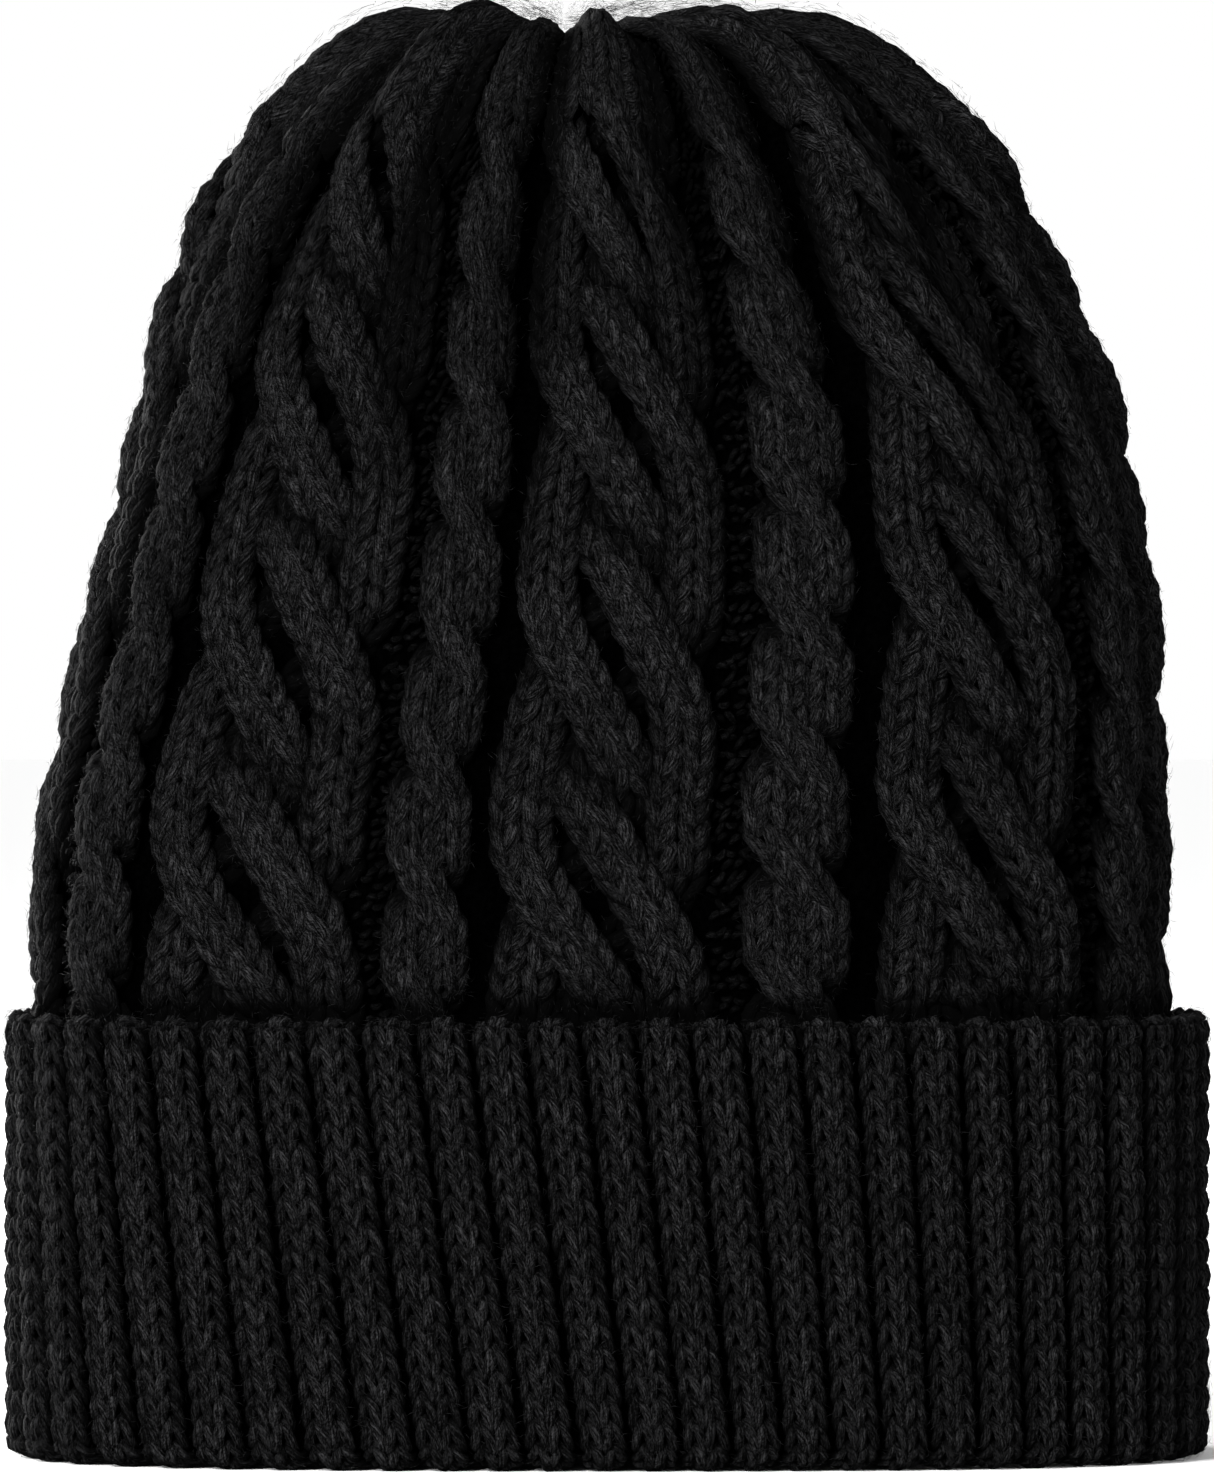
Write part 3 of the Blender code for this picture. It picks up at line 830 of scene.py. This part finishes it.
def cable_strand(centre_x, start, keys_x, keys_h, cycle, column, radius, breadth, ease=0.8):
    """Legs of one two-column strand that weaves about centre_x, up to the first decrease."""
    tilt = float(row_tilt(centre_x))
    column = column * breadth
    radius = radius * breadth

    def rows_down(v):
        return (start + tilt - v) / ROW

    def sideways(v):
        return glide(rows_down(v), keys_x, cycle, ease) * breadth

    def lean(v):
        return sideways(v + 0.5) - sideways(v - 0.5)

    def lift(v):
        return glide(rows_down(v), keys_h, cycle, 0.5)

    stitches = np.arange(tilt % ROW - ROW, CROWN_RUN - 5.0, ROW)
    legs = []
    for side in (-0.5, 0.5):
        offset = side * column * 1.02

        def place(v):
            slope = lean(v)
            fuller_way = 1.0 + 0.10 * np.clip(np.abs(slope), 0.0, 1.0)
            return centre_x + sideways(v) + offset * fuller_way / np.sqrt(1.0 + slope ** 2)

        def rise(v, off):
            return lift(v) + strand_round(offset + off, column)

        keep = lift(stitches + 0.5 * ROW) > HIDDEN_BELOW
        keep &= crown_narrowing(stitches) > FIRST_DECREASE + rng.uniform(-0.02, 0.02)
        legs.append(stitch_legs(place, lean, stitches[keep], rise, column * 0.5, radius))
    spines, wides, thicks = join(legs)
    narrow = crown_narrowing(spines[..., 1])
    wides = wides * np.clip(narrow, 0.12, 1.0) ** -0.35
    thicks = thicks * np.clip(narrow, 0.3, 1.0) ** 0.3
    return within_crown(spines), wides, thicks


def plain_column(centre_x, column, v_from, v_to):
    """Plain knit column above a decrease, as wide as the room that is left for it."""
    tilt = float(row_tilt(centre_x))
    stitches = np.arange(v_from + tilt % ROW, v_to, ROW)
    spines, wides, thicks = stitch_legs(
        lambda v: np.full_like(v, centre_x), np.zeros_like, stitches,
        lambda v, off: -1.35 - 0.9 * (np.abs(off) / column) ** 2, column * 0.5, 1.0)
    narrow = crown_narrowing(spines[..., 1])
    wides = wides * column * 0.27
    thicks = thicks * np.clip(column * 0.27 * narrow, 0.45, 1.25)
    return within_crown(spines), wides, thicks


def crown_run_at(narrow):
    """How far up the crown it has narrowed to a share of its width."""
    return float(np.interp(-narrow, -line_half / CAP_A, np.linspace(0.0, CROWN_RUN, CROWN_ROWS)))


def plain_top(x, width, columns):
    """A cable's columns above its decreases: half as many, then a quarter."""
    parts = []
    for low, high, count in ((FIRST_DECREASE, SECOND_DECREASE, columns),
                             (SECOND_DECREASE, LAST_NARROWING, columns // 2)):
        for k in range(count):
            column = width / count
            offset = (k - 0.5 * (count - 1)) * column
            v_from = crown_run_at(low) - ROW * rng.uniform(0.0, 1.0)
            parts.append(plain_column(x + offset, column, v_from, crown_run_at(high)))
    return parts


def cable_piece(name, x, strands, width, columns):
    """One cable from its strands, with plain columns over its decreases; gives back its legs."""
    legs = join(strands + plain_top(x, width, columns))
    # foot: painted shade where the crown comes out of the cuff
    piece = tube_piece(name, crown, *legs, foot=LIP_V + FOOT_SHADE_FROM)
    dress(piece, cable_yarn, "cap", "cable_yarn", "cable_crown")
    return legs


crown = crown_skin()
fuzzy_cap = []
for number in range(CABLE_REPEATS):
    x = wrapped(number * REPEAT + WIDE_SHIFT[number])
    strands = []
    for half_cycle in range(2):
        start = WIDE_START + half_cycle * WIDE_CYCLE / 2 * ROW
        for lag, keys_x, keys_h in ((0.0, EDGE_STRAND_X, EDGE_STRAND_H),
                                    (OVER_STRAND_LAG, OVER_STRAND_X, OVER_STRAND_H)):
            strands.append(cable_strand(x, start - lag * ROW, keys_x, keys_h, WIDE_CYCLE,
                                        WIDE_COLUMN, LEG_IN_CABLE, WIDE_BREADTH[number]))
    fuzzy_cap.append(cable_piece(f"wide_cable_{number}", x, strands,
                                 WIDE_WIDTH, WIDE_PLAIN_COLUMNS))

for number in range(CABLE_REPEATS):
    x = wrapped(number * REPEAT + ROPE_OFFSET + ROPE_SHIFT[number])
    strands = [cable_strand(x, ROPE_START + half_cycle * ROPE_CYCLE / 2 * ROW, ROPE_X, ROPE_H,
                            ROPE_CYCLE, ROPE_COLUMN, LEG_IN_ROPE, ROPE_BREADTH[number], ease=0.3)
               for half_cycle in range(2)]
    fuzzy_cap.append(cable_piece(f"rope_cable_{number}", x, strands,
                                 ROPE_WIDTH, ROPE_PLAIN_COLUMNS))


def crown_ground_outside(x, v):
    """The ground rises at the foot, to meet the band's cloth."""
    return np.interp(v, (0.0, 1.2, 5.5), (1.4, 1.2, -4.9))


def crown_ground_inside(x, v):
    return np.interp(v, (0.0, 1.2, 5.5), (-3.0, -3.0, -5.9))


ground_rows = np.concatenate((np.linspace(0.0, 6.0, 7),
                              np.linspace(6.0, CROWN_RUN - 30.0, 66)[1:],
                              np.linspace(CROWN_RUN - 30.0, CROWN_RUN - 0.03, 28)[1:]))
dress(ground_piece("crown_ground", crown, 400, ground_rows, crown_ground_outside,
                   crown_ground_inside),
      ground_yarn, "cap", "cable_yarn", "cable_crown")


def purl_bumps():
    """Purl stitches of the ground between cables: small arcs that bend up and down by turns."""
    share = np.linspace(-1.0, 1.0, 4)
    spines = []
    for number in range(CABLE_REPEATS):
        for off in PURL_COLUMNS:
            x = number * REPEAT + WIDE_SHIFT[number] + off
            tilt = float(row_tilt(wrapped(x)))
            rows = np.arange(tilt % ROW, CROWN_RUN - 12.0, ROW)
            for phase, bend, side in ((0.0, PURL_BEND, 0.0), (0.5, -PURL_BEND, 1.0)):
                count = len(rows)
                middle = rows + phase * ROW + rng.normal(0.0, 0.4, count)
                px = x + side + share * PURL_HALF_WIDTH + rng.normal(0.0, 0.35, (count, 1))
                pv = middle[:, None] + bend * (1.0 - share ** 2)
                pv = pv + share * rng.normal(0.3, 0.5, (count, 1))
                ph = PURL_HEIGHT - 0.7 * share ** 2 + rng.normal(0.0, 0.25, (count, 1))
                spines.append(grid(px, pv, ph))
    spines = within_crown(np.concatenate(spines))
    size = np.broadcast_to(PURL_RADIUS * (1.0 - 0.3 * share ** 2), spines.shape[:2])
    return spines, size, size


dress(tube_piece("purl_ground_stitches", crown, *purl_bumps(), sides=5, shade_keys=PURL_SHADE),
      cable_yarn, "cap", "cable_yarn", "cable_crown")

# ---- band behind the cuff
band_rows = np.arange(0.4 * ROW, BAND_RUN - 0.8 * ROW, ROW)
rib_pieces("band_outer_ribs", band_outside_skin(), band_rows, CAP_GIRTH / RIBS, 2, 4, 5,
           "cap", "inner_band")


# ---- joining yarns
def plied_run(name, skin, x, v_from, v_to, h, radius):
    """A three-ply yarn laid up the cloth at x, as one mesh of three twisted plies."""
    count = int((v_to - v_from) / 0.55)
    v = np.linspace(v_from, v_to, count)
    turn = TAU * (v / PLY_LAY + np.arange(3)[:, None] / 3.0)
    wander = 0.25 * np.sin(v * 0.31)
    spines = grid(x + wander + 0.5 * radius * np.sin(turn), v, h + 0.5 * radius * np.cos(turn))
    size = np.full(spines.shape[:2], 0.56 * radius)
    return tube_piece(name, skin, spines, size, size, sides=8, shade_keys=[(-20.0, 0.8)])


def whip_stitches(name, skin, x, v_from, v_to, h, radius, spacing=3.6):
    """Slanting stitches that wrap over a run of yarn and down into the cloth on both sides."""
    v = np.arange(v_from, v_to, spacing)
    share = np.linspace(-1.0, 1.0, 9)
    arch = np.sqrt(np.clip(1.0 - share ** 2, 0.0, 1.0))
    inward = 1.0 if h > 0 else -1.0
    aside = x + share * 2.1 + rng.normal(0.0, 0.15, (len(v), 1))
    along = v[:, None] + share * 1.5 + rng.normal(0.0, 0.2, (len(v), 1))
    spines = grid(aside, along, h + inward * (arch * 1.45 - 0.75))
    size = np.broadcast_to(radius * (1.0 - 0.2 * share ** 4), spines.shape[:2])
    return tube_piece(name, skin, spines, size, size, sides=7, shade_keys=[(-20.0, 0.9)])


crown_back, band_back = CAP_GIRTH / 2.0, CUFF_GIRTH / 2.0
seam_top = CROWN_RUN - 14.0
dress(plied_run("crown_seam_run", crown, crown_back, 2.4, seam_top, -7.0, SEAM_RADIUS),
      join_yarn, "cap", "join_yarn", "crown_seam_yarn")
dress(whip_stitches("crown_seam_stitches", crown, crown_back, 5.0, seam_top - 4.0, -6.9,
                    SEAM_STITCH_RADIUS),
      join_yarn, "cap", "join_yarn", "crown_seam_yarn")
dress(plied_run("band_seam_run", ribs_skin, band_back, V_FOLD_END + 3.0, V_END - 1.5, 1.3,
                SEAM_RADIUS),
      join_yarn, "cap", "join_yarn", "band_seam_yarn")
dress(whip_stitches("band_seam_stitches", ribs_skin, band_back, V_FOLD_END + 5.0, V_END - 4.0,
                    1.2, SEAM_STITCH_RADIUS),
      join_yarn, "cap", "join_yarn", "band_seam_yarn")


def space_cord(name, path, radius, plies, closed):
    """A plied yarn along a path in space (mm): each ply a tube that twists round the path."""
    count = len(path)
    if closed:
        way = np.roll(path, -1, 0) - np.roll(path, 1, 0)
    else:
        way = np.gradient(path, axis=0)
    way /= np.linalg.norm(way, axis=1, keepdims=True)
    first = np.cross(way, (0.0, 0.0, 1.0))
    first /= np.linalg.norm(first, axis=1, keepdims=True) + 1e-9
    second = np.cross(first, way)
    step = np.linalg.norm(np.diff(path, axis=0), axis=1)
    run = np.concatenate(([0.0], np.cumsum(step)))
    whole = run[-1] + (np.linalg.norm(path[0] - path[-1]) if closed else 0.0)
    turns = max(1.0, round(whole / CORD_LAY))
    sides = 8
    turn = np.arange(sides) / sides * TAU
    verts, quads, tris, yarn = [], [], [], []
    base = 0
    for ply in range(plies):
        angle = TAU * (turns * run / whole + ply / plies)
        off = radius * 0.5
        middle = path + (first * np.cos(angle)[:, None] + second * np.sin(angle)[:, None]) * off
        size = radius * 0.56
        ring = middle[:, None] + (first[:, None] * np.cos(turn)[None, :, None]
                                  + second[:, None] * np.sin(turn)[None, :, None]) * size
        verts.append(ring.reshape(-1, 3))
        yarn.append(grid(run[:, None], turn * size, (ply + 0.5) / plies).reshape(-1, 3))
        i = np.arange(count if closed else count - 1)[:, None]
        j = np.arange(sides)[None]
        k, m = (i + 1) % count, (j + 1) % sides
        quads.append(base + np.stack((i * sides + j, k * sides + j, k * sides + m,
                                      i * sides + m), -1).reshape(-1, 4))
        base += count * sides
        if not closed:
            for end, flip in ((0, 1), (count - 1, -1)):
                verts.append(middle[end:end + 1] + way[end:end + 1] * (-flip * size * 0.7))
                yarn.append(np.array([[run[end], 0.0, 0.5]]))
                start = base - count * sides - (0 if flip == 1 else 1) + end * sides
                fan = (np.full(sides, base), start + (j[0] + 1) % sides, start + j[0])
                tris.append(np.stack(fan, -1)[:, ::flip])
                base += 1
    verts, yarn = np.concatenate(verts), np.concatenate(yarn)
    tris = np.concatenate(tris) if tris else NO_TRIS
    return make_mesh(name, verts, np.concatenate(quads), tris, yarn, np.full(len(verts), 0.8))


def ring_path(radius):
    """A slightly uneven ring where the CAD has the gather's yarn."""
    centre = (ring_low + ring_high) / 2.0
    reach = (ring_high[0] - ring_low[0]) / 2.0 - radius
    angle = np.linspace(0.0, TAU, 97)[:-1]
    wobble = 1.0 + 0.04 * np.sin(3.0 * angle + 0.7)
    return grid(centre[0] + reach * wobble * np.cos(angle),
                centre[1] + reach * wobble * np.sin(angle), centre[2] + 0.25 * np.sin(5.0 * angle))


def knot_path():
    """An overhand knot with two short drooping tails, as large as the CAD's."""
    turn = np.linspace(0.35, TAU - 0.35, 150)
    knot = grid(np.sin(turn) + 2.0 * np.sin(2.0 * turn), np.cos(turn) - 2.0 * np.cos(2.0 * turn),
                -1.3 * np.sin(3.0 * turn))
    first_way, last_way = knot[0] - knot[1], knot[-1] - knot[-2]
    droop = np.array((0.0, 0.0, -0.9))
    first_way = first_way / np.linalg.norm(first_way) + droop
    last_way = last_way / np.linalg.norm(last_way) + droop
    tail = np.linspace(1.0, 0.1, 14)[:, None]
    knot = np.concatenate((knot[0] + first_way * 2.0 * tail, knot,
                           knot[-1] + last_way * 2.0 * tail[::-1]))
    low, high = knot.min(0), knot.max(0)
    scale = ((knot_high - knot_low) - 2.0 * KNOT_YARN_RADIUS) / (high - low)
    return knot_low + KNOT_YARN_RADIUS + (knot - low) * scale


ring_yarn_radius = (ring_high[2] - ring_low[2]) / 2.0
dress(space_cord("gather_yarn_ring", ring_path(ring_yarn_radius), ring_yarn_radius * 0.95, 3,
                 True),
      join_yarn, "cap", "join_yarn", "crown_gather_yarn")
dress(space_cord("gather_yarn_knot", knot_path(), KNOT_YARN_RADIUS, 2, False),
      join_yarn, "cap", "join_yarn", "crown_tie_knot")


# ---- care label
def label_tape():
    """A blank woven tape folded at its foot, a little wavy, its two selvedges thicker."""
    across = np.linspace(-0.5, 0.5, 45)
    width = label_high[0] - label_low[0]
    middle_x = (label_high[0] + label_low[0]) / 2.0
    length = label_high[2] - label_low[2]
    face_y = label_low[1] + 0.17
    back_y = label_high[1] - 0.17
    fold = (back_y - face_y) / 2.0
    run = [(face_y, z) for z in np.linspace(label_high[2], label_low[2] + fold, 50)]
    run += [(face_y + fold - fold * math.cos(t), label_low[2] + fold - fold * math.sin(t))
            for t in np.linspace(0.0, math.pi, 12)[1:-1]]
    run += [(back_y, z) for z in np.linspace(label_low[2] + fold, label_high[2], 50)]
    run = np.array(run)
    tangent = np.gradient(run, axis=0)
    tangent /= np.linalg.norm(tangent, axis=1, keepdims=True)
    normal = np.stack((tangent[:, 1], -tangent[:, 0]), -1)
    down = (label_high[2] - run[:, 1]) / length
    u, d = np.meshgrid(across, down, indexing="ij")
    wave = 0.16 * np.sin(u * 5.5 + 0.6) * d + 0.10 * np.sin(d * 7.0 + 2.0 * u) * d
    half = 0.11 + 0.07 * np.clip((np.abs(u) - 0.45) * 25.0, 0.0, 1.0)
    half = half + 0.02 * np.sin(np.arange(len(run)) * 2.1)[None, :]
    verts = np.concatenate([
        grid(middle_x + u * width, run[:, 0] + normal[:, 0] * half * sign + wave,
             run[:, 1] + normal[:, 1] * half * sign).reshape(-1, 3) for sign in (1.0, -1.0)])
    columns, rows = u.shape
    number = np.arange(2 * columns * rows).reshape(2, columns, rows)
    quads = []
    for face, turn in zip(number, (1, -1)):
        quad = np.stack((face[:-1, :-1], face[1:, :-1], face[1:, 1:], face[:-1, 1:]), -1)
        quads.append(quad.reshape(-1, 4)[:, ::turn])
    for near, far in (number[:, 0], number[:, -1], number[:, :, 0], number[:, :, -1]):
        quads.append(np.stack((near[:-1], near[1:], far[1:], far[:-1]), -1))
    return make_mesh("care_label_tape", verts, np.concatenate(quads), NO_TRIS)


def fix_normals(item):
    """Turn every face of a closed mesh outward."""
    mesh = bmesh.new()
    mesh.from_mesh(item.data)
    bmesh.ops.recalc_face_normals(mesh, faces=mesh.faces)
    mesh.to_mesh(item.data)
    mesh.free()


def woven_material(name, value):
    """Satin woven tape: fine warp and weft threads, slight unevenness."""
    nodes = Nodes(name, 0.55, 0.3)
    place = nodes.add("ShaderNodeTexCoord").outputs["Object"]
    x, _, z = nodes.split(place)
    times, plus = nodes.times, nodes.plus
    weave = times(nodes.calc("SINE", times(x, WARP_RATE)),
                 nodes.calc("SINE", times(z, WEFT_RATE)))
    cloud = nodes.noise(place, 160.0, 4.0)
    tone = plus(nodes.ramp(weave, -1.0, 1.0, 0.0, 0.6), times(cloud, 0.4))
    nodes.colour(nodes.mix(tone, (value * 0.8, value * 0.8, value * 0.77, 1.0),
                           (value, value, value * 0.97, 1.0)))
    nodes.bump(plus(weave, cloud), 0.00006)
    return nodes.material


tape = label_tape()
fix_normals(tape)
dress(tape, woven_material("white_woven_tape", 0.78), "label", "label_tape", "care_label")


def zigzag_path(radius):
    """Thread back and forth over the label's top edge, a dip between its corners."""
    room = stitch_high[0] - stitch_low[0] - 2 * radius
    corners = np.array([(stitch_low[0] + radius + room * k / ZIGZAGS,
                         (stitch_low[1] + stitch_high[1]) / 2.0,
                         stitch_high[2] - radius if k % 2 else stitch_low[2] + radius)
                        for k in range(ZIGZAGS + 1)])
    fine = np.linspace(0.0, ZIGZAGS, ZIGZAGS * 12 + 1)
    base = np.arange(ZIGZAGS + 1)
    path = np.stack([np.interp(fine, base, corners[:, k]) for k in range(3)], -1)
    path[:, 1] += 0.16 * np.cos(TAU * fine)
    return path


thread_radius = (stitch_high[1] - stitch_low[1]) / 2.0
dress(space_cord("label_zigzag_thread", zigzag_path(thread_radius), thread_radius * 0.85, 2,
                 False),
      join_yarn, "label", "label_thread", "label_stitches")


# ---- loose fibres
def fibres_from(legs, count, reach):
    """Needle-thin bent fibres that lift off random spots of stitch legs, in pattern places."""
    spine, wide, _ = legs
    pick = rng.integers(0, len(spine), count)
    place = rng.uniform(0.6, spine.shape[1] - 1.6, count)
    low = place.astype(int)
    part = (place - low)[:, None]
    start = spine[pick, low] * (1 - part) + spine[pick, low + 1] * part
    way = spine[pick, low + 1] - spine[pick, low]
    way /= np.linalg.norm(way, axis=1, keepdims=True) + 1e-9
    around = rng.normal(0.0, 0.75, count)
    around_way = grid(np.sin(around), 0.0, np.cos(around))
    start = start + around_way * wide[pick, low][:, None]
    swing = rng.normal(0.0, 0.8, count)
    lift = np.abs(rng.normal(0.0, 0.20, count)) + 0.03
    length = rng.uniform(0.35, 1.0, count) * reach
    way = way * rng.choice((-1.0, 1.0), (count, 1))
    turned = np.stack((way[:, 0] * np.cos(swing) - way[:, 1] * np.sin(swing),
                       way[:, 0] * np.sin(swing) + way[:, 1] * np.cos(swing),
                       lift), 1)
    turned /= np.linalg.norm(turned, axis=1, keepdims=True)
    bend = rng.normal(0.0, 0.45, (count, 3)) * (1.0, 1.0, 0.35)
    middle = start + turned * (length * 0.5)[:, None]
    onward = turned + bend
    onward[:, 2] -= 0.1
    onward /= np.linalg.norm(onward, axis=1, keepdims=True)
    end = middle + onward * (length * 0.5)[:, None]
    return np.stack((start, middle, end), 1)


def fibre_piece(name, skin, lines, tones):
    """Three-sided needles: a pointed start, a thin middle and a pointed end."""
    count = len(lines)
    way = lines[:, 2] - lines[:, 0]
    side = np.stack((way[:, 1], -way[:, 0], np.zeros(count)), 1)
    side /= np.linalg.norm(side, axis=1, keepdims=True) + 1e-9
    over = np.cross(side, way)
    over /= np.linalg.norm(over, axis=1, keepdims=True) + 1e-9
    rings = []
    for turn in (0.0, TAU / 3.0, 4.0 * math.pi / 3.0):
        out = side * math.cos(turn) + over * math.sin(turn)
        rings.append(lines[:, 1] + out * FIBRE_RADIUS)
    verts = np.stack((lines[:, 0], *rings, lines[:, 2]), 1)
    faces = np.array([(0, 2, 1), (0, 3, 2), (0, 1, 3), (4, 1, 2), (4, 2, 3), (4, 3, 1)])
    tris = faces[None] + (np.arange(count) * 5)[:, None, None]
    turn = -1 if skin.mirrored else 1
    item = make_mesh(name, skin.place(verts).reshape(-1, 3), NO_QUADS,
                     tris.reshape(-1, 3)[:, ::turn])
    for tone in tones:
        item.data.materials.append(tone)
    which = np.repeat(rng.integers(0, len(tones), count), 6).astype(np.int32)
    item.data.polygons.foreach_set("material_index", which)
    return item


for share, legs in enumerate(fuzzy_cuff):
    lines = fibres_from(legs, FIBRES_PER_CUFF_PIECE, FIBRE_REACH)
    dress(fibre_piece(f"cuff_fuzz_{share}", ribs_skin, lines, fibre_tones),
          None, "cuff", "rib_yarn")
for number, legs in enumerate(fuzzy_cap):
    lines = fibres_from(legs, FIBRES_PER_CABLE, FIBRE_REACH)
    dress(fibre_piece(f"crown_fuzz_{number}", crown, lines, fibre_tones),
          None, "cap", "cable_yarn")
